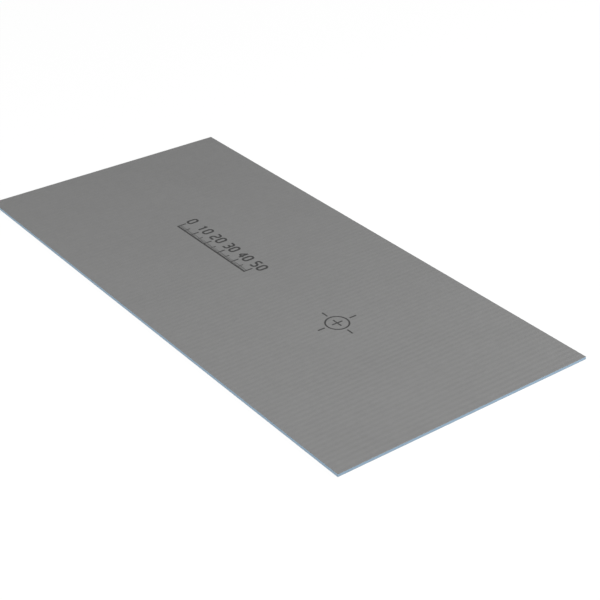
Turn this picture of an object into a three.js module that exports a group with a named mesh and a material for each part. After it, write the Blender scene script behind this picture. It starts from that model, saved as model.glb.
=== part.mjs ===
// A foam tile backer board: one flat rectangular sheet that is screwed or bonded to a wall, floor or
// worktop so that tiles can be laid on it. It is a laminate of three layers of the same outline:
//   foam_core     the rigid pale blue foam board, bare on all four edges, where it was sawn to size
//   face_coating  the thin grey cement mortar on the upper face, with its glass-fibre mesh cast inside
//   back_coating  the same mortar and mesh on the underside
// The layers are bonded face to face all over, so the board is stiff and nothing in it moves.
// The mortar's ribs and mesh print are a fraction of a millimetre deep and aren't modelled here.
//
// Units are millimetres. The origin is the middle of the underside, where the board lies on the floor.
// +X runs along the board, +Y across it, and +Z up through its thickness.

import * as THREE from "three";

// The finished board, as sold.
const BOARD_LENGTH = 2500;
const BOARD_WIDTH = 1200;
const BOARD_THICKNESS = 12.5;

// The mortar on each face, mesh included. The foam fills what is left between the two.
const COATING_THICKNESS = 0.9;

// The heights at which one layer ends and the next begins.
const UNDERSIDE = 0;
const CORE_BOTTOM = UNDERSIDE + COATING_THICKNESS;
const CORE_TOP = BOARD_THICKNESS - COATING_THICKNESS;
const UPPER_FACE = BOARD_THICKNESS;

const foam = new THREE.MeshStandardMaterial({ color: 0x8aa2b6, roughness: 0.80, metalness: 0 });
const mortar = new THREE.MeshStandardMaterial({ color: 0x8b8b8b, roughness: 0.92, metalness: 0 });

// One layer of the sheet, between two heights. Its corners take their height straight from those
// values, so two layers that share a height meet exactly, face to face, with no gap and no overlap.
function layerGeometry(bottom, top) {
  const geometry = new THREE.BoxGeometry(BOARD_LENGTH, BOARD_WIDTH, top - bottom);
  const corners = geometry.getAttribute("position");
  for (let i = 0; i < corners.count; i += 1) {
    corners.setZ(i, corners.getZ(i) > 0 ? top : bottom);
  }
  return geometry;
}

function layer(name, bottom, top, material) {
  const mesh = new THREE.Mesh(layerGeometry(bottom, top), material);
  mesh.name = name;
  return mesh;
}

const board = new THREE.Group();
board.add(
  layer("back_coating", UNDERSIDE, CORE_BOTTOM, mortar),
  layer("foam_core", CORE_BOTTOM, CORE_TOP, foam),
  layer("face_coating", CORE_TOP, UPPER_FACE, mortar),
);

export default board;
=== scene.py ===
# %% [markdown]
# # A foam tile backer board
# This lesson dresses one sheet of tile backer board: rigid pale blue foam between two thin coats of
# grey cement mortar. Tilers fix such sheets to walls and floors and lay the tiles straight on them.
# The solids that carry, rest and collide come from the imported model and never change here. We look
# up their places, and build the finer surfaces that the eye sees around them.

import math

import bpy
import numpy as np
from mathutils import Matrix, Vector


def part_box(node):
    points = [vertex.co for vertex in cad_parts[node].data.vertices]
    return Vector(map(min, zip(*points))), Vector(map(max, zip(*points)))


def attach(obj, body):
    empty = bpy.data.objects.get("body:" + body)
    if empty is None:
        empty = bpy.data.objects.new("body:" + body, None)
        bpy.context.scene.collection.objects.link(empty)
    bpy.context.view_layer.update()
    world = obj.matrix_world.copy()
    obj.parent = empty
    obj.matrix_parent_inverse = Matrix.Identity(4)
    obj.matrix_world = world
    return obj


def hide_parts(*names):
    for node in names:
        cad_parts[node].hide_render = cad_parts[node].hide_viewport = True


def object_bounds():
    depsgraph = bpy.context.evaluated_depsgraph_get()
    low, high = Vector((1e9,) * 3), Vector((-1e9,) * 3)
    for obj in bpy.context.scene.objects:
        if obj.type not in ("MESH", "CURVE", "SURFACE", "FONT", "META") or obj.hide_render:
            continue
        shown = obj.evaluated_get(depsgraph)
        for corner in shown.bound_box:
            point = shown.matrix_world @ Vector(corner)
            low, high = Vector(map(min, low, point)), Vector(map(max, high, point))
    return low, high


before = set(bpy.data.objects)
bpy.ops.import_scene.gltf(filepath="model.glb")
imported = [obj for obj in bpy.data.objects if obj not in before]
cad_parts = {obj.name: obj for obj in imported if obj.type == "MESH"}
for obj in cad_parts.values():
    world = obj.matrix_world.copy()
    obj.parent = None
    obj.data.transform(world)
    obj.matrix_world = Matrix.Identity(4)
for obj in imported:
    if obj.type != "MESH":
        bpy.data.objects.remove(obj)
cad_low, cad_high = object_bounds()
face_low, face_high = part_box("face_coating")
core_low, core_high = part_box("foam_core")
back_low, back_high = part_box("back_coating")

LENGTH = cad_high.x - cad_low.x
WIDTH = cad_high.y - cad_low.y
THICKNESS = cad_high.z - cad_low.z
MM = 0.001
print(f"{len(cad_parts)} solids, {LENGTH / MM:.0f} x {WIDTH / MM:.0f} x {THICKNESS / MM:.1f} mm")

# %% [markdown]
# ## The camera
# The camera stands off the right-hand front corner and looks down on the sheet. The board's four
# edges in the picture fix where: two families of parallel edges give the lens and the two angles,
# and the sheet's known size gives the distance. The picture was trimmed a little more on one side,
# which a small sideways lens shift repeats without turning the camera.

# %% Place the camera
CAMERA_PLACE = (4.152, -3.012, 2.938)
LOOKS_DOWN = math.radians(30.823)
LOOKS_LEFT_OF_BACK = math.radians(53.21)
FOCAL_LENGTH = 85.2
SENSOR_WIDTH = 36.0
SIDEWAYS_SHIFT = 0.0337
FARTHEST_SEEN = 100.0

camera_data = bpy.data.cameras.new("camera")
camera_data.lens = FOCAL_LENGTH
camera_data.sensor_width = SENSOR_WIDTH
camera_data.shift_x = SIDEWAYS_SHIFT
camera_data.clip_end = FARTHEST_SEEN
camera = bpy.data.objects.new("camera", camera_data)
camera.location = CAMERA_PLACE
camera.rotation_euler = (math.pi / 2 - LOOKS_DOWN, 0.0, LOOKS_LEFT_OF_BACK)
bpy.context.scene.collection.objects.link(camera)
bpy.context.scene.camera = camera
print(f"camera {CAMERA_PLACE}, {FOCAL_LENGTH} mm lens")

# %% [markdown]
# ## Sections carried along a path
# Every piece that we add is the same kind of shape: a closed section carried along a path, with a
# flat face at each end unless the path is a loop. A coat of mortar is one very wide, thin section
# carried down the board. The foam core is the sheet's outline carried up through its thickness, and
# a printed stroke is a small flat section carried along the pen's line. One helper serves them all.

# %% Faces of a swept solid
def swept_faces(sections, loop=False, first=0):
    """Faces of a solid whose points are sections[i, j], point j of closed section i.

    Point j is joined to point j + 1, and section i to section i + 1. A loop also joins the last
    section to the first. Otherwise the first and the last section are closed by a flat face.
    The points are numbered from first.
    """
    count, corners = sections.shape[:2]
    index = first + np.arange(count * corners).reshape(count, corners)
    if loop:
        index = np.vstack([index, index[:1]])
    beside = np.roll(index, -1, axis=1)
    quads = np.stack([index[:-1], index[1:], beside[1:], beside[:-1]], axis=-1)
    faces = quads.reshape(-1, 4).tolist()
    if not loop:
        faces += [index[0].tolist(), index[-1][::-1].tolist()]
    return faces


print(f"a square carried one step has {len(swept_faces(np.zeros((2, 4, 3))))} faces")

# %% [markdown]
# ## Pieces, and a check on them
# A piece may hold many such solids. Its faces are smooth where they meet at a shallow angle and
# sharp elsewhere. It's easy to build a solid inside out, and hard to see it, because most renders
# look the same. Its volume tells: summed over the triangles of a closed surface it comes out
# positive if they face outwards, and negative if they face inwards. So we measure each piece.

# %% Make a piece and measure it
SHARP_ANGLE = math.radians(35)


def add_piece(name, solids, material):
    """One object from several solids, each a pair (sections, loop)."""
    points, faces, first = [], [], 0
    for sections, loop in solids:
        points.append(sections.reshape(-1, 3))
        faces += swept_faces(sections, loop, first)
        first += len(points[-1])
    mesh = bpy.data.meshes.new(name)
    mesh.from_pydata(np.vstack(points).tolist(), [], faces)
    mesh.materials.append(material)
    mesh.shade_smooth()
    mesh.set_sharp_from_angle(angle=SHARP_ANGLE)
    piece = bpy.data.objects.new(name, mesh)
    bpy.context.scene.collection.objects.link(piece)
    return piece


def measure(piece):
    """A line on a piece's triangles and the volume in them, the sum of a . (b x c) / 6."""
    mesh = piece.data
    mesh.calc_loop_triangles()
    corner = np.empty(len(mesh.loop_triangles) * 3, dtype=np.int32)
    mesh.loop_triangles.foreach_get("vertices", corner)
    place = np.empty(len(mesh.vertices) * 3, dtype=np.float32)
    mesh.vertices.foreach_get("co", place)
    a, b, c = place.reshape(-1, 3).astype(float)[corner.reshape(-1, 3)].transpose(1, 0, 2)
    volume = np.einsum("ij,ij->i", a, np.cross(b, c)).sum() / 6
    assert volume > 0, f"the faces of {piece.name} point inwards"
    return f"{piece.name}: {len(a)} triangles, {volume * 1e6:.3f} cubic centimetres"


print(f"edges of a piece are sharp past {math.degrees(SHARP_ANGLE):.0f} degrees")

# %% [markdown]
# ## Unevenness
# No machine is perfect, and nothing on the board is quite even: its ribs, its worn edges and its
# saw marks all drift. We could use random numbers point by point, but real drift is smooth. A sum
# of a few long waves in random directions is smooth and costs little, and a place has the same value
# each time it is asked, so that pieces that meet can follow the same drift.

# %% A smooth uneven field
def slow_waves(along, across, seed, longest=0.9, shortest=0.16, count=12):
    """A smooth uneven field, mostly between -1 and 1 and hardly ever past 2.5 either way.

    It is the sum of sin(turns around + phase) for plane waves, each shorter than the last by the
    same ratio from longest to shortest, whose headings and phases are drawn at random, divided
    by the square root of their count.
    """
    draw = np.random.default_rng(seed)
    headings = draw.uniform(0.0, math.pi, count)
    phases = draw.uniform(0.0, 2 * math.pi, count)
    field = 0.0
    for wavelength, heading, phase in zip(np.geomspace(longest, shortest, count), headings, phases):
        travelled = along * math.cos(heading) + across * math.sin(heading)
        field = field + np.sin(2 * math.pi * travelled / wavelength + phase)
    return field / math.sqrt(count)


sample = slow_waves(*np.meshgrid(np.linspace(0, LENGTH, 200), np.linspace(0, WIDTH, 100)), seed=1)
print(f"over the board such a field runs from {sample.min():.2f} to {sample.max():.2f}")

# %% [markdown]
# ## The relief of the mortar
# The coat is pulled over a glass-fibre mesh by machine, which leaves low cross ribs, one every
# 25 mm, that give tile adhesive something to key into. They are a third of a millimetre deep at
# one end of the board and get shallower towards the other. Light that rakes along the board picks
# them out, so they are real geometry, not bump. A cosine makes the ribs. The uneven field makes
# them a little deeper here and shallower there, and lets the whole face swell and sink by a few
# hundredths of a millimetre.

# %% The height of the face at any point
RIB_PITCH = 25 * MM
RIB_DEPTHS = (0.15 * MM, 0.36 * MM)
RIB_UNEVENNESS = 0.18
RIB_WANDER = 0.5 * MM
FACE_SWELL = 0.05 * MM
FIRST_RIDGE = 0.9 * MM
INK_ROOM = 0.05 * MM


def groove_share(along, across, seed):
    """How far down in a groove a point lies, from 0 on a ridge to 1 at the bottom of a groove.

    It is (1 - cos(turns)) / 2, and one turn is one rib pitch, counted from the first ridge at the
    right end and shifted by a slow wander.
    """
    wander = RIB_WANDER * slow_waves(along, across, seed + 1)
    turns = (LENGTH / 2 - FIRST_RIDGE - along + wander) / RIB_PITCH
    return (1 - np.cos(2 * math.pi * turns)) / 2


def groove_depth(along, across, seed):
    """How far a point lies under the ridges: the ribs' depth there times the groove share.

    The depth runs straight from that of the left end to that of the right end, and waves about it.
    """
    even = np.interp(along, (-LENGTH / 2, LENGTH / 2), RIB_DEPTHS)
    depth = even * (1 + RIB_UNEVENNESS * slow_waves(along, across, seed + 2))
    return depth * groove_share(along, across, seed)


def hollow(along, across, seed):
    """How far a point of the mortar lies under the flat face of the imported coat.

    It is the room kept for ink, plus the depth in the groove, plus FACE_SWELL times a share from
    0 to 1 that drifts slowly.
    """
    swell = FACE_SWELL * (1 - np.clip(slow_waves(along, across, seed + 3), -1, 1)) / 2
    return INK_ROOM + groove_depth(along, across, seed) + swell


print(f"{LENGTH / RIB_PITCH:.0f} ribs, {RIB_DEPTHS[0] / MM:.2f} to {RIB_DEPTHS[1] / MM:.2f} mm deep")

# %% [markdown]
# ## Where the coat is cut
# The sheet is sawn to size after the coat has set. Mortar is brittle, so its edge isn't a sharp
# line: it is rounded over by a fraction of a millimetre, it stands back a hair from the plane of
# the cut, and here and there a crumb is gone. The grid is therefore closer near the four edges, and
# a point there sinks by the square of how near it is to the cut. Even at a deep chip the mesh holds
# a skin of mortar on the foam.

# %% Grid lines and the crumbled edge
SAMPLES_PER_RIB = 12
CROSS_STEP = 20 * MM
EDGE_LINES = np.array([0.0, 0.2, 0.5, 0.9, 1.2]) * MM
EDGE_REACH = EDGE_LINES[-1]
EDGE_DROP = 0.22 * MM
EDGE_INSET = 0.10 * MM
LEAST_MORTAR = 0.15 * MM
WEAR = 0.6
WEAR_UNEVENNESS = 0.2
CHIP_WEAR = 0.25
CHIP_LIMIT = 2.0
CHIP_WAVES = (50 * MM, 6 * MM)
CUT_WAVE_COUNT = 10
CUT_SHIFT = 3.0


def grid_lines(size, step):
    """Places from -size / 2 to size / 2, a step apart, with a few more close to each end."""
    inner = np.arange(-size / 2 + step, size / 2 - step / 2, step)
    return np.concatenate([EDGE_LINES - size / 2, inner, size / 2 - EDGE_LINES[::-1]])


def crumble(place, side, seed):
    """Uneven wear along a cut, about 0.6 on most of it and up to 3 at a rare chip.

    It is a level, plus a share of a field of short waves, plus a share of the field's cube where
    it is above 0. The side, -1 or 1, shifts the waves, so that opposite cuts don't wear alike.
    """
    rough = slow_waves(place + CUT_SHIFT * side, 0 * place, seed, *CHIP_WAVES, CUT_WAVE_COUNT)
    return WEAR + WEAR_UNEVENNESS * rough + CHIP_WEAR * np.clip(rough, 0, CHIP_LIMIT) ** 3


def nearness(distance):
    """1 at a cut edge, 0 from EDGE_REACH inwards, and the square of the share between."""
    return np.clip(1 - distance / EDGE_REACH, 0, 1) ** 2


along_lines = grid_lines(LENGTH, RIB_PITCH / SAMPLES_PER_RIB)
across_lines = grid_lines(WIDTH, CROSS_STEP)
print(f"grid of {len(along_lines)} by {len(across_lines)} points")

# %% [markdown]
# ## A material is a network
# A material in Blender is a small network of nodes. Written out link by link it gets long, so these
# helpers add one node, set its options, and feed its sockets, each either with a plain value or
# with the output of a node made before.

# %% Helpers for shader nodes
def new_material(name):
    """A node material that holds only a Principled shader, and that shader."""
    material = bpy.data.materials.new(name)
    material.use_nodes = True
    return material, material.node_tree.nodes["Principled BSDF"]


def feed(material, node, **inputs):
    """Fills sockets of a node. An underscore stands for a space, and _0 for the first socket."""
    for key, value in inputs.items():
        name = int(key[1:]) if key[1:].isdigit() else key.replace("_", " ")
        socket = node.inputs[name]
        if isinstance(value, bpy.types.NodeSocket):
            material.node_tree.links.new(value, socket)
        else:
            socket.default_value = value


def add_node(material, kind, settings=None, **inputs):
    """Adds a node of that kind with its options set and its sockets fed."""
    node = material.node_tree.nodes.new("ShaderNode" + kind)
    for key, value in (settings or {}).items():
        setattr(node, key, value)
    feed(material, node, **inputs)
    return node


print("helpers:", ", ".join(helper.__name__ for helper in (new_material, feed, add_node)))

# %% [markdown]
# ## Arithmetic in a network
# Patterns are worked out by arithmetic on outputs, one Math node for each step. Most of the steps
# are products, and a Map Range node carries values from one range over to another.

# %% Arithmetic on outputs
def calculate(material, operation, a, b=0.0, c=0.0):
    """The output of a Math node, which reads only as many of the three inputs as it needs."""
    return add_node(material, "Math", {"operation": operation}, _0=a, _1=b, _2=c).outputs[0]


def product(material, first, *others):
    """The product of several outputs or numbers."""
    for other in others:
        first = calculate(material, "MULTIPLY", first, other)
    return first


def spread(material, value, low, high, new_low, new_high):
    """Carries values that run from low to high over to a new range, and holds them inside it."""
    node = add_node(material, "MapRange", Value=value, From_Min=low, From_Max=high,
                    To_Min=new_low, To_Max=new_high)
    return node.outputs["Result"]


print("helpers:", ", ".join(helper.__name__ for helper in (calculate, product, spread)))

# %% [markdown]
# ## Noise, tones and relief
# A colour is the real base colour times a tone that stays near 1, so that its mean is known, and
# relief is a height in metres, so that it can be held against the real thing. Blender's noise
# stays mostly between 0.3 and 0.7, which is why it is spread before it is used as a tone.

# %% Noise, tones and relief
NOISE_RANGE = (0.3, 0.7)


def noise(material, place, size, detail=2.0):
    """Smooth random values around 0.5 whose patches are about the given size in metres."""
    node = add_node(material, "TexNoise", Vector=place, Scale=1 / size, Detail=detail)
    return node.outputs["Fac"]


def mottled(material, value, share):
    """Turns noise into tones from 1 - share to 1 + share."""
    return spread(material, value, *NOISE_RANGE, 1 - share, 1 + share)


def tinted(material, tone, colour):
    """The colour, with each of its three channels times the tone."""
    red, green, blue = (product(material, tone, channel) for channel in colour)
    return add_node(material, "CombineColor", Red=red, Green=green, Blue=blue).outputs["Color"]


def raised(material, height):
    """Normals of a surface that stands up by that height in metres."""
    return add_node(material, "Bump", Height=height, Strength=1.0, Distance=1.0).outputs["Normal"]


print("helpers:", ", ".join(helper.__name__ for helper in (noise, mottled, tinted, raised)))

# %% [markdown]
# ## The mesh in the mortar
# The mortar is thin, and the square mesh of glass yarns cast into it shows through as faint raised
# lines about 5 mm apart: the higher of two rows of narrow ridges, each a cosine raised to a power.
# At the four cuts the saw also goes through the yarns. Since a procedural material fills space, we
# can simply say where in the solid the yarns run, and the cut faces show their pale ends.

# %% Yarns of the mesh
MESH_PITCH = 5.0 * MM
MESH_SHARPNESS = 4.0
YARN_DEPTH = 0.72 * MM
YARN_HALF_SIZE = (0.45 * MM, 0.11 * MM)
YARN_SOFT_EDGE = (0.7, 1.3)


def yarn_ridges(material, place):
    """Ridges one mesh pitch apart, midway between whole pitches: (1 / 2 - cos(turns) / 2) ** 4."""
    wave = calculate(material, "COSINE", product(material, place, 2 * math.pi / MESH_PITCH))
    share = calculate(material, "MULTIPLY_ADD", wave, -0.5, 0.5)
    return calculate(material, "POWER", share, MESH_SHARPNESS)


def yarn_ends(material, place, height):
    """1 inside the yarns that run square to place, and 0 outside.

    A yarn's section is an ellipse, (distance across / half width) ** 2 + (distance up or down /
    half height) ** 2 = 1. A ping-pong gives the distance from the nearest yarn, and its mirror
    about the middle of the board lets one formula serve the mesh of both coats.
    """
    half_width, half_height = YARN_HALF_SIZE
    shifted = calculate(material, "ADD", place, MESH_PITCH / 2)
    across = calculate(material, "PINGPONG", shifted, MESH_PITCH / 2)
    from_middle = calculate(material, "ABSOLUTE",
                            calculate(material, "SUBTRACT", height, THICKNESS / 2))
    up = calculate(material, "SUBTRACT", from_middle, THICKNESS / 2 - YARN_DEPTH)
    across_share = product(material, across, 1 / half_width)
    up_share = product(material, up, 1 / half_height)
    ellipse = calculate(material, "ADD", product(material, across_share, across_share),
                        product(material, up_share, up_share))
    return spread(material, ellipse, *YARN_SOFT_EDGE, 1.0, 0.0)


print(f"yarns {MESH_PITCH / MM:.0f} mm apart, {YARN_DEPTH / MM:.2f} mm under the packed face")

# %% [markdown]
# ## Pores
# Air that was stirred into the mortar leaves small open bubbles in its skin, here and there one
# about a millimetre wide. They are the parts of a flat Voronoi pattern that lie close to its seeds.
# Their floors are sunk by bump only, and painted darker as painted shade inside the bubble.

# %% Pores
PORE_SPACING = 11 * MM
PORE_RADIUS = 0.45 * MM
PORE_FLOOR_SHARE = 0.5


def pore_shares(material, place):
    """1 on a pore's floor and 0 outside it, from the distance to the nearest scattered seed."""
    seeds = add_node(material, "TexVoronoi", {"voronoi_dimensions": "2D"}, Vector=place,
                     Scale=1 / PORE_SPACING).outputs["Distance"]
    radius = PORE_RADIUS / PORE_SPACING
    return spread(material, seeds, PORE_FLOOR_SHARE * radius, radius, 1.0, 0.0)


print(f"about {LENGTH * WIDTH / PORE_SPACING ** 2:.0f} pores on a face")

# %% [markdown]
# ## Cement mortar
# Set mortar is a dull neutral grey. From across a room it looks even, so its clouds stay within a
# few percent. Close up, besides the mesh and the pores, it shows fine sand. Its grooves are painted
# a touch darker than the ridges: that is painted shade, added to the shade of the relief itself.

# %% The mortar material
MORTAR_GREY = 0.2555
MORTAR_BLUE_SHARE = 0.995
MORTAR_COLOUR = (MORTAR_GREY, MORTAR_GREY, MORTAR_BLUE_SHARE * MORTAR_GREY)
MORTAR_ROUGHNESS = 0.92
MORTAR_SPECULAR = 0.3
CLOUD_SIZES = (350 * MM, 30 * MM)
CLOUD_SHARES = (0.015, 0.02)
SAND_SIZE = 0.7 * MM
SAND_RELIEF = 0.08 * MM
SAND_SHARE = 0.09
PORE_DEPTH = 0.15 * MM
# painted shade: the share of light taken from a pore's floor
PAINTED_PORE_SHADE = 0.35
# painted shade: the share of light taken from the bottom of the deepest groove
PAINTED_GROOVE_SHADE = 0.04
MESH_RELIEF = 0.10 * MM
MESH_SHINE = 0.045
YARN_SHINE = 0.6


def make_mortar(name, colour):
    """Colour is the base colour times the tones of all the patterns, and their relief adds up."""
    material, shader = new_material(name)
    place = add_node(material, "TexCoord").outputs["Object"]
    x, y, z = add_node(material, "SeparateXYZ", Vector=place).outputs
    yarns = calculate(material, "MAXIMUM", yarn_ridges(material, x), yarn_ridges(material, y))
    ends = calculate(material, "MAXIMUM", yarn_ends(material, x, z), yarn_ends(material, y, z))
    sand = noise(material, place, SAND_SIZE, detail=1.0)
    pores = pore_shares(material, place)
    groove = add_node(material, "Attribute", {"attribute_name": "groove"}).outputs["Fac"]

    clouds = [mottled(material, noise(material, place, size, detail=3.0), share)
              for size, share in zip(CLOUD_SIZES, CLOUD_SHARES)]
    tone = product(material, *clouds, mottled(material, sand, SAND_SHARE),
                   # the grooves are painted darker here, as painted shade that follows the relief
                   calculate(material, "MULTIPLY_ADD", groove, -PAINTED_GROOVE_SHADE, 1.0),
                   # the pores' floors are painted darker, as painted shade inside them
                   calculate(material, "MULTIPLY_ADD", pores, -PAINTED_PORE_SHADE, 1.0),
                   calculate(material, "MULTIPLY_ADD", yarns, MESH_SHINE, 1.0),
                   calculate(material, "MULTIPLY_ADD", ends, YARN_SHINE, 1.0))
    height = calculate(material, "MULTIPLY_ADD", yarns, MESH_RELIEF,
                       product(material, sand, SAND_RELIEF))
    height = calculate(material, "MULTIPLY_ADD", pores, -PORE_DEPTH, height)
    feed(material, shader, Base_Color=tinted(material, tone, colour),
         Normal=raised(material, height), Roughness=MORTAR_ROUGHNESS,
         Specular_IOR_Level=MORTAR_SPECULAR)
    return material


mortar = make_mortar("cement mortar", MORTAR_COLOUR)
print(f"mortar of grey {MORTAR_GREY} in {len(mortar.node_tree.nodes)} nodes")

# %% [markdown]
# ## The two coats
# Both faces get the same coat, so one function makes both. Its section at a given place along the
# board is the ribbed outer line, from one long edge to the other, and the two corners that sit on
# the foam. The back coat is the same with its outer line facing down. The depth of the groove at
# each point goes into the mesh as an attribute, 1 being the deepest even groove, so that the
# material can paint the grooves darker, as painted shade that follows the relief.

# %% Coat both faces
def coat_sections(inner_z, outer_z, seed):
    """Sections of a coat: outer line at outer_z minus the hollow, and two corners at inner_z.

    The outer line's points are pulled in and down near the four cuts, by the edge's crumble,
    but never closer to the foam than the least mortar.
    """
    out = math.copysign(1.0, outer_z - inner_z)
    x, y = np.meshgrid(along_lines, across_lines, indexing="ij")
    end_wear = nearness(LENGTH / 2 - abs(x)) * crumble(y, np.sign(x), seed + 4)
    side_wear = nearness(WIDTH / 2 - abs(y)) * crumble(x, np.sign(y), seed + 5)
    sink = hollow(x, y, seed) + EDGE_DROP * np.maximum(end_wear, side_wear)
    sink = np.minimum(sink, abs(outer_z - inner_z) - LEAST_MORTAR)
    outer = np.stack([x - np.sign(x) * EDGE_INSET * end_wear,
                      y - np.sign(y) * EDGE_INSET * side_wear,
                      outer_z - out * sink], axis=-1)
    inner = outer[:, [-1, 0]].copy()
    inner[..., 2] = inner_z
    sections = np.concatenate([outer, inner], axis=1)
    return sections if out > 0 else sections[:, ::-1]


def add_coat(name, node, inner_z, outer_z, seed):
    """A coat of mortar that takes the place of a packed one."""
    sections = coat_sections(inner_z, outer_z, seed)
    piece = add_piece(name, [(sections, False)], mortar)
    depths = groove_depth(sections[..., 0], sections[..., 1], seed) / max(RIB_DEPTHS)
    # the groove's depth sets how much painted shade the mortar puts in it
    attribute = piece.data.attributes.new("groove", "FLOAT", "POINT")
    attribute.data.foreach_set("value", depths.astype(np.float32).ravel())
    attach(piece, "root")
    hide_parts(node)
    print(measure(piece))


FACE_SEED = 11
BACK_SEED = 47
add_coat("face_coat_ribbed", "face_coating", face_low.z, face_high.z, FACE_SEED)
add_coat("back_coat_ribbed", "back_coating", back_high.z, back_low.z, BACK_SEED)

# %% [markdown]
# ## Extruded foam
# Extruded foam is a mass of closed cells a few tenths of a millimetre wide. Sawing opens them,
# which makes the cut matt and faintly grainy. A Voronoi texture gives the cells, with painted shade
# on their low walls, and noise that is stretched upright gives the finest of the saw's marks.

# %% The foam material
FOAM_BLUE = (0.256, 0.364, 0.469)
FOAM_ROUGHNESS = 0.8
FOAM_SPECULAR = 0.35
FOAM_CLOUD_SIZE = 40 * MM
FOAM_CLOUD_SHARE = 0.03
CELL_SIZE = 0.28 * MM
CELL_RELIEF = 0.04 * MM
CELL_WALL = 0.25
# painted shade: tones from a cell's low wall, the darker one, to its middle
PAINTED_CELL_SHADE_TONES = (0.92, 1.03)
SCRATCH_SIZE = 2.5 * MM
SCRATCH_STRETCH = 20.0
SCRATCH_RELIEF = 0.04 * MM
SCRATCH_SHARE = 0.04


def make_foam(name, colour):
    """Paler and darker clouds, upright scratches, and cells whose lower walls are painted darker as
    shade.
    """
    material, shader = new_material(name)
    place = add_node(material, "TexCoord").outputs["Object"]
    cells = add_node(material, "TexVoronoi", {"feature": "DISTANCE_TO_EDGE"}, Vector=place,
                     Scale=1 / CELL_SIZE).outputs["Distance"]
    upright = add_node(material, "Mapping", Vector=place,
                       Scale=(1.0, 1.0, 1 / SCRATCH_STRETCH)).outputs["Vector"]
    scratches = noise(material, upright, SCRATCH_SIZE)
    clouds = noise(material, place, FOAM_CLOUD_SIZE, detail=3.0)

    tone = product(material, mottled(material, clouds, FOAM_CLOUD_SHARE),
                   mottled(material, scratches, SCRATCH_SHARE),
                   # the low walls between cells are painted darker, as painted shade in the creases
                   spread(material, cells, 0.0, CELL_WALL, *PAINTED_CELL_SHADE_TONES))
    height = calculate(material, "MULTIPLY_ADD", cells, CELL_RELIEF,
                       product(material, scratches, SCRATCH_RELIEF))
    feed(material, shader, Base_Color=tinted(material, tone, colour),
         Normal=raised(material, height), Roughness=FOAM_ROUGHNESS,
         Specular_IOR_Level=FOAM_SPECULAR)
    return material


foam = make_foam("extruded foam", FOAM_BLUE)
print(f"foam of {FOAM_BLUE} in {len(foam.node_tree.nodes)} nodes")

# %% [markdown]
# ## The sawn core
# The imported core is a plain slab. A real one was cut by a blade that trembles a little, which
# leaves shallow upright hollows, one to a few centimetres apart, in all four cuts. We carry the
# sheet's outline up through the foam, and draw each point in by the depth of the hollow there.
# The hollows lean slightly with height, because the sheet moved on while the blade went up.

# %% Saw the foam
OUTLINE_STEP = 2 * MM
OUTLINE_LEVELS = 5
SAW_DEPTH = 0.05 * MM
SAW_LEAN = 0.15
SAW_WAVES = (60 * MM, 8 * MM)
SAW_SEED = 71


def outline_points(step):
    """The sheet's outline, clockwise from above, in points a step apart along each side."""
    corners = np.array([(-1, -1), (-1, 1), (1, 1), (1, -1)]) * (LENGTH / 2, WIDTH / 2)
    sides = []
    for start, end in zip(corners, np.roll(corners, -1, axis=0)):
        count = round(np.linalg.norm(end - start) / step)
        sides.append(np.linspace(start, end, count, endpoint=False))
    return np.vstack(sides)


def saw_hollow(place, side, seed):
    """Depth of the saw's marks: SAW_DEPTH times (1 - field of short waves), held from 0 to 2."""
    field = slow_waves(place + CUT_SHIFT * side, 0 * place, seed, *SAW_WAVES, CUT_WAVE_COUNT)
    return SAW_DEPTH * np.clip(1 - field, 0, 2)


def core_sections(low_z, high_z):
    """Outlines from the foot of the core to its top, each point drawn in by the marks of its cut."""
    x, y = outline_points(OUTLINE_STEP).T
    z = np.linspace(low_z, high_z, OUTLINE_LEVELS)[:, None]
    on_end = np.isclose(abs(x), LENGTH / 2)
    on_side = np.isclose(abs(y), WIDTH / 2)
    end_depth = on_end * saw_hollow(y + SAW_LEAN * z, np.sign(x), SAW_SEED)
    side_depth = on_side * saw_hollow(x + SAW_LEAN * z, np.sign(y), SAW_SEED + 1)
    return np.stack([x - np.sign(x) * end_depth, y - np.sign(y) * side_depth, z + 0 * x], axis=-1)


core = add_piece("foam_core_sawn", [(core_sections(core_low.z, core_high.z), False)], foam)
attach(core, "root")
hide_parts("foam_core")
print(measure(core))

# %% [markdown]
# ## Drawing with a pen
# Such boards are often printed with marks that help to cut and place them. We draw ours as a
# plotter does: a pen line with rounded corners, swept by a flat section. A turn that is given as a
# corner and a radius is easy to write down, and an arc that touches both sides replaces it.

# %% Pen lines with rounded corners
ARC_STEPS = 8


def rounded(corners):
    """A pen line through corners, each a row x, y, radius, whose turns are arcs of that radius.

    An arc leaves the corner's two sides at radius x tan(half the turn) from the corner.
    """
    corners = np.asarray(corners, float)
    line = [corners[0, :2]]
    for before, (x, y, radius), after in zip(corners[:-2, :2], corners[1:-1], corners[2:, :2]):
        corner = np.array([x, y])
        arrive = (corner - before) / np.linalg.norm(corner - before)
        leave = (after - corner) / np.linalg.norm(after - corner)
        left_turn = arrive[0] * leave[1] - arrive[1] * leave[0]
        turn = math.atan2(left_turn, arrive @ leave)
        side = np.array([-arrive[1], arrive[0]]) * math.copysign(1.0, turn)
        start = corner - arrive * radius * abs(math.tan(turn / 2))
        swept = np.linspace(0.0, abs(turn), ARC_STEPS + 1)[:, None]
        line.extend(start + radius * (np.sin(swept) * arrive + (1 - np.cos(swept)) * side))
    line.append(corners[-1, :2])
    return np.array(line)


print(f"one rounded turn has {len(rounded([(0, 0, 0), (1, 0, 0.5), (1, 1, 0)]))} points")

# %% [markdown]
# ## A film of ink
# Ink lies on the mortar, so each point of a stroke takes its height from the same formula as the
# face, and the print dips into every groove that it crosses. It is a closed film, a few hundredths
# of a millimetre proud, whose underside is hidden just inside the mortar, so nothing flickers.

# %% An ink stroke
FILM = 0.03 * MM
FILM_ROOT = 0.12 * MM
PEN_STEP = 2.0 * MM


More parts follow.
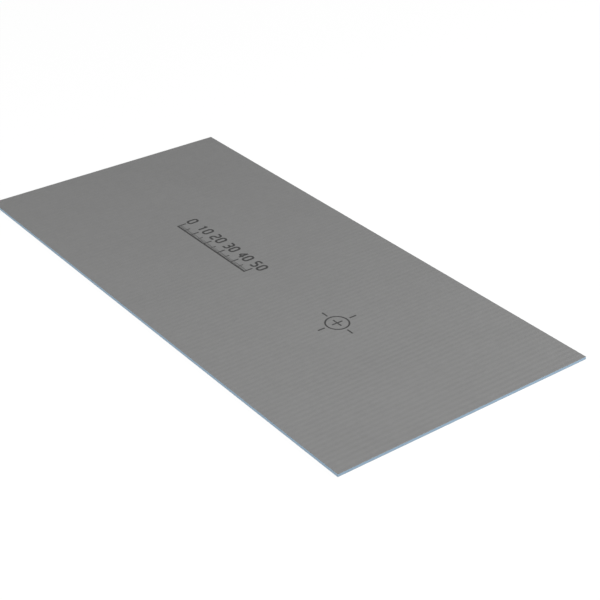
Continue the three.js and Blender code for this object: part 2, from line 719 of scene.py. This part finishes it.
def evenly(line, step):
    """The same pen line with points at most a step apart."""
    gaps = np.linalg.norm(np.diff(line, axis=0), axis=1)
    run = np.concatenate([[0.0], np.cumsum(gaps)])
    places = np.linspace(0.0, run[-1], max(2, math.ceil(run[-1] / step) + 1))
    return np.column_stack([np.interp(places, run, line[:, k]) for k in (0, 1)])


def ink_stroke(line, width, loop=False):
    """A closed film of ink along a pen line.

    Its section runs from the pen's right side to its left, a film's thickness above the mortar,
    and back again just inside the mortar.
    """
    line = evenly(np.asarray(line, float), PEN_STEP)
    if loop:
        line = line[:-1]
        heading = np.roll(line, -1, axis=0) - np.roll(line, 1, axis=0)
    else:
        heading = np.gradient(line, axis=0)
    heading /= np.linalg.norm(heading, axis=1)[:, None]
    left = np.column_stack([-heading[:, 1], heading[:, 0]])
    offsets = np.linspace(-width / 2, width / 2, math.ceil(width / PEN_STEP) + 1)
    plan = line[:, None, :] + offsets[None, :, None] * left[:, None, :]
    level = face_high.z - hollow(plan[..., 0], plan[..., 1], FACE_SEED)
    top = np.dstack([plan, level + FILM])
    root = np.dstack([plan, level - FILM_ROOT])
    return np.concatenate([top, root[:, ::-1]], axis=1), loop


def straight(x0, y0, x1, y1, pen):
    """A straight stroke from one point to another."""
    return ink_stroke([(x0, y0), (x1, y1)], pen)


print(f"a stroke 10 mm long has {straight(0, 0, 10 * MM, 0, 4 * MM)[0].size // 3} points")

# %% [markdown]
# ## Numerals
# Each numeral is one or two pen lines in a box one unit tall, with straight runs and rounded turns
# only, like the figures on a gauge. A row is x, y and the radius of the turn there.

# %% Numerals from zero to five
NUMERAL_LINES = {
    "0": [[(0.31, 0, 0), (0.05, 0, 0.24), (0.05, 1, 0.24), (0.57, 1, 0.24), (0.57, 0, 0.24),
           (0.31, 0, 0)]],
    "1": [[(0.34, 0, 0), (0.34, 1, 0)], [(0.12, 0.78, 0), (0.34, 0.92, 0)]],
    "2": [[(0.05, 1, 0), (0.57, 1, 0.24), (0.57, 0.5, 0.24), (0.05, 0.5, 0.24), (0.05, 0, 0.13),
           (0.60, 0, 0)]],
    "3": [[(0.05, 1, 0), (0.57, 1, 0.24), (0.57, 0.5, 0.24), (0.18, 0.5, 0)],
          [(0.34, 0.5, 0), (0.57, 0.5, 0.2), (0.57, 0, 0.24), (0.05, 0, 0)]],
    "4": [[(0.46, 0.90, 0), (0.00, 0.30, 0.13), (0.68, 0.30, 0)], [(0.48, 1, 0), (0.48, 0, 0)]],
    "5": [[(0.56, 1, 0), (0.06, 1, 0.13), (0.06, 0.56, 0.13), (0.57, 0.56, 0.26),
           (0.57, 0, 0.26), (0.05, 0, 0)]],
}
NUMERAL_WIDTH = 0.62
NUMERAL_SPACE = 0.24


def numeral_strokes(text, middle, base, height, pen):
    """Ink strokes of a short number, centred on middle along the board, standing on base."""
    strokes = []
    advance = NUMERAL_WIDTH + NUMERAL_SPACE
    start = middle - (len(text) * advance - NUMERAL_SPACE) * height / 2
    for place, figure in enumerate(text):
        corner = np.array([start + place * advance * height, base, 0.0])
        for rows in NUMERAL_LINES[figure]:
            pen_line = rounded(corner + np.array(rows) * height)
            strokes.append(ink_stroke(pen_line, pen, loop=figure == "0"))
    return strokes


print(f"{len(NUMERAL_LINES)} numerals of {sum(map(len, NUMERAL_LINES.values()))} pen lines")

# %% [markdown]
# ## The cutting scale
# The larger mark is a plain scale, half a metre long, to measure a cut by: a base line with a tick
# every centimetre, a longer one at each fifth, and a number over each tenth.

# %% The cutting scale
SCALE_START = -0.55
SCALE_LENGTH = 0.50
SCALE_BASE = -0.055
TICK_SPACING = 10 * MM
TICK_SIZES = {10: (42 * MM, 7 * MM), 5: (30 * MM, 5.5 * MM), 1: (18 * MM, 3.5 * MM)}
BASE_LINE_PEN = 8 * MM
NUMERAL_HEIGHT = 47 * MM
NUMERAL_PEN = 10 * MM
NUMERAL_GAP = 12 * MM


def scale_strokes():
    """The base line, and on it a tick for each centimetre, with a number over each tenth."""
    top_of_line = SCALE_BASE + BASE_LINE_PEN / 2
    half_tick = TICK_SIZES[10][1] / 2
    strokes = [straight(SCALE_START - half_tick, SCALE_BASE,
                        SCALE_START + SCALE_LENGTH + half_tick, SCALE_BASE, BASE_LINE_PEN)]
    for tick in range(round(SCALE_LENGTH / TICK_SPACING) + 1):
        size = 10 if tick % 10 == 0 else 5 if tick % 5 == 0 else 1
        height, pen = TICK_SIZES[size]
        x = SCALE_START + tick * TICK_SPACING
        strokes.append(straight(x, top_of_line, x, SCALE_BASE + height, pen))
        if size == 10:
            base = SCALE_BASE + height + NUMERAL_GAP
            strokes += numeral_strokes(str(tick), x, base, NUMERAL_HEIGHT, NUMERAL_PEN)
    return strokes


print(f"{len(scale_strokes())} strokes in the scale")

# %% [markdown]
# ## The centre mark
# The smaller mark shows the middle of the sheet's width: a ring with a cross in it, and an arm on
# each side to lay a straight edge against.

# %% The centre mark
MARK_MIDDLE = (0.50, 0.0)
MARK_PEN = 7 * MM
RING_RADIUS = 48 * MM
RING_POINTS = 97
INNER_REACH = 26 * MM
OUTER_REACHES = (62 * MM, 96 * MM)


def centre_mark_strokes():
    """A ring of points radius x (cos, sin), a small cross in it, and an arm on each side of it."""
    x, y = MARK_MIDDLE
    turns = np.linspace(0.0, 2 * math.pi, RING_POINTS)
    ring = np.column_stack([x + RING_RADIUS * np.cos(turns), y + RING_RADIUS * np.sin(turns)])
    half_pen = MARK_PEN / 2
    strokes = [ink_stroke(ring, MARK_PEN, loop=True),
               straight(x - INNER_REACH, y, x + INNER_REACH, y, MARK_PEN)]
    for side in (-1, 1):
        near, far = (side * reach for reach in OUTER_REACHES)
        strokes += [straight(x, y + side * half_pen, x, y + side * INNER_REACH, MARK_PEN),
                    straight(x + near, y, x + far, y, MARK_PEN),
                    straight(x, y + near, x, y + far, MARK_PEN)]
    return strokes


print(f"{len(centre_mark_strokes())} strokes in the centre mark")

# %% [markdown]
# ## Ink
# The ink is a flat dark grey that has soaked into the mortar. It doesn't cover every grain: where
# the sand stands up, tiny specks of grey show through. They come from the peaks of a fine noise.

# %% The ink material, and both marks
INK_GREY = 0.062
INK_ROUGHNESS = 0.85
SPECK_SIZE = 0.9 * MM
SPECK_PEAKS = (0.62, 0.74)
SPECK_SHARE = 0.8


def make_ink(name, grey):
    """Dark grey with specks of mortar, as rough as the sand below it."""
    material, shader = new_material(name)
    place = add_node(material, "TexCoord").outputs["Object"]
    specks = spread(material, noise(material, place, SPECK_SIZE), *SPECK_PEAKS,
                    grey, SPECK_SHARE * MORTAR_GREY)
    colour = add_node(material, "CombineColor", Red=specks, Green=specks, Blue=specks)
    sand = noise(material, place, SAND_SIZE, detail=1.0)
    feed(material, shader, Base_Color=colour.outputs["Color"],
         Normal=raised(material, product(material, sand, SAND_RELIEF)),
         Roughness=INK_ROUGHNESS, Specular_IOR_Level=MORTAR_SPECULAR)
    return material


ink = make_ink("print ink", INK_GREY)
for name, strokes in (("cutting_scale_print", scale_strokes()),
                      ("centre_mark_print", centre_mark_strokes())):
    mark = add_piece(name, strokes, ink)
    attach(mark, "root")
    print(measure(mark))

# %% [markdown]
# ## The floor
# The sheet lies on a pale floor that is lit through from below, as a light table is, so that it
# stays white right up to the board and the board's blue edge reads against it. Emission does most
# of the work, and the little grey on top catches a trace of shade along the board's foot.

# %% Lay the floor
FLOOR_SIZE = 200.0
FLOOR_GREY = 0.10
FLOOR_GLOW = 0.93


def add_floor():
    """A glowing square under the board, level with its underside."""
    half = FLOOR_SIZE / 2
    mesh = bpy.data.meshes.new("floor")
    corners = [(-half, -half, 0), (half, -half, 0), (half, half, 0), (-half, half, 0)]
    mesh.from_pydata(corners, [], [(0, 1, 2, 3)])
    material, shader = new_material("light table")
    feed(material, shader, Base_Color=(FLOOR_GREY, FLOOR_GREY, FLOOR_GREY, 1.0), Roughness=1.0,
         Specular_IOR_Level=0.0, Emission_Color=(1.0, 1.0, 1.0, 1.0),
         Emission_Strength=FLOOR_GLOW)
    mesh.materials.append(material)
    floor = bpy.data.objects.new("floor", mesh)
    bpy.context.scene.collection.objects.link(floor)


add_floor()
print(f"floor {FLOOR_SIZE:.0f} m wide")

# %% [markdown]
# ## Light
# Two large soft lamps rake across the board. The stronger one stands beyond the near end on the
# right: it makes the near end brighter than the far one, and shades the ribs. The other stands far
# to the left and lights the long edge. Their places were worked out from how bright the face is
# from end to end and how bright the two edges are beside it. A low sky fills the rest. It is white
# only where the camera itself sees it, so that low views get a white backdrop too.

# %% Lamps and sky
LAMP_SIZE = 2.4
LAMPS = {
    "right_lamp": ((5.98, 5.77, 3.90), 635.0),
    "left_lamp": ((1.26, -7.00, 6.00), 377.0),
}
SKY_STRENGTH = 0.263
BACKDROP_STRENGTH = 1.0


def add_lamp(name, place, power):
    """A round soft lamp aimed at the middle of the board, which the camera doesn't see."""
    data = bpy.data.lights.new(name, "AREA")
    data.shape = "DISK"
    data.size = LAMP_SIZE
    data.energy = power
    lamp = bpy.data.objects.new(name, data)
    lamp.location = place
    lamp.rotation_euler = (-lamp.location).to_track_quat("-Z", "Y").to_euler()
    lamp.visible_camera = False
    bpy.context.scene.collection.objects.link(lamp)


def add_sky():
    """A world of two white backgrounds: one lights the scene, and the camera sees the other."""
    world = bpy.data.worlds.new("sky")
    world.use_nodes = True
    nodes, links = world.node_tree.nodes, world.node_tree.links
    either = nodes.new("ShaderNodeMixShader")
    seen = nodes.new("ShaderNodeLightPath").outputs["Is Camera Ray"]
    links.new(seen, either.inputs[0])
    for place, strength in enumerate((SKY_STRENGTH, BACKDROP_STRENGTH), start=1):
        background = nodes.new("ShaderNodeBackground")
        background.inputs["Color"].default_value = (1.0, 1.0, 1.0, 1.0)
        background.inputs["Strength"].default_value = strength
        links.new(background.outputs[0], either.inputs[place])
    links.new(either.outputs[0], nodes["World Output"].inputs["Surface"])
    bpy.context.scene.world = world


for name, (place, power) in LAMPS.items():
    add_lamp(name, place, power)
add_sky()
bpy.context.scene.view_settings.view_transform = "Standard"
print(f"{len(LAMPS)} lamps and a sky of strength {SKY_STRENGTH}")

# %% [markdown]
# ## Closing
# The dressed board is built to lie inside the box of the imported one, and this cell prints that
# box.

# %% Print the box and finish
print("cad box", list(cad_low), list(cad_high))
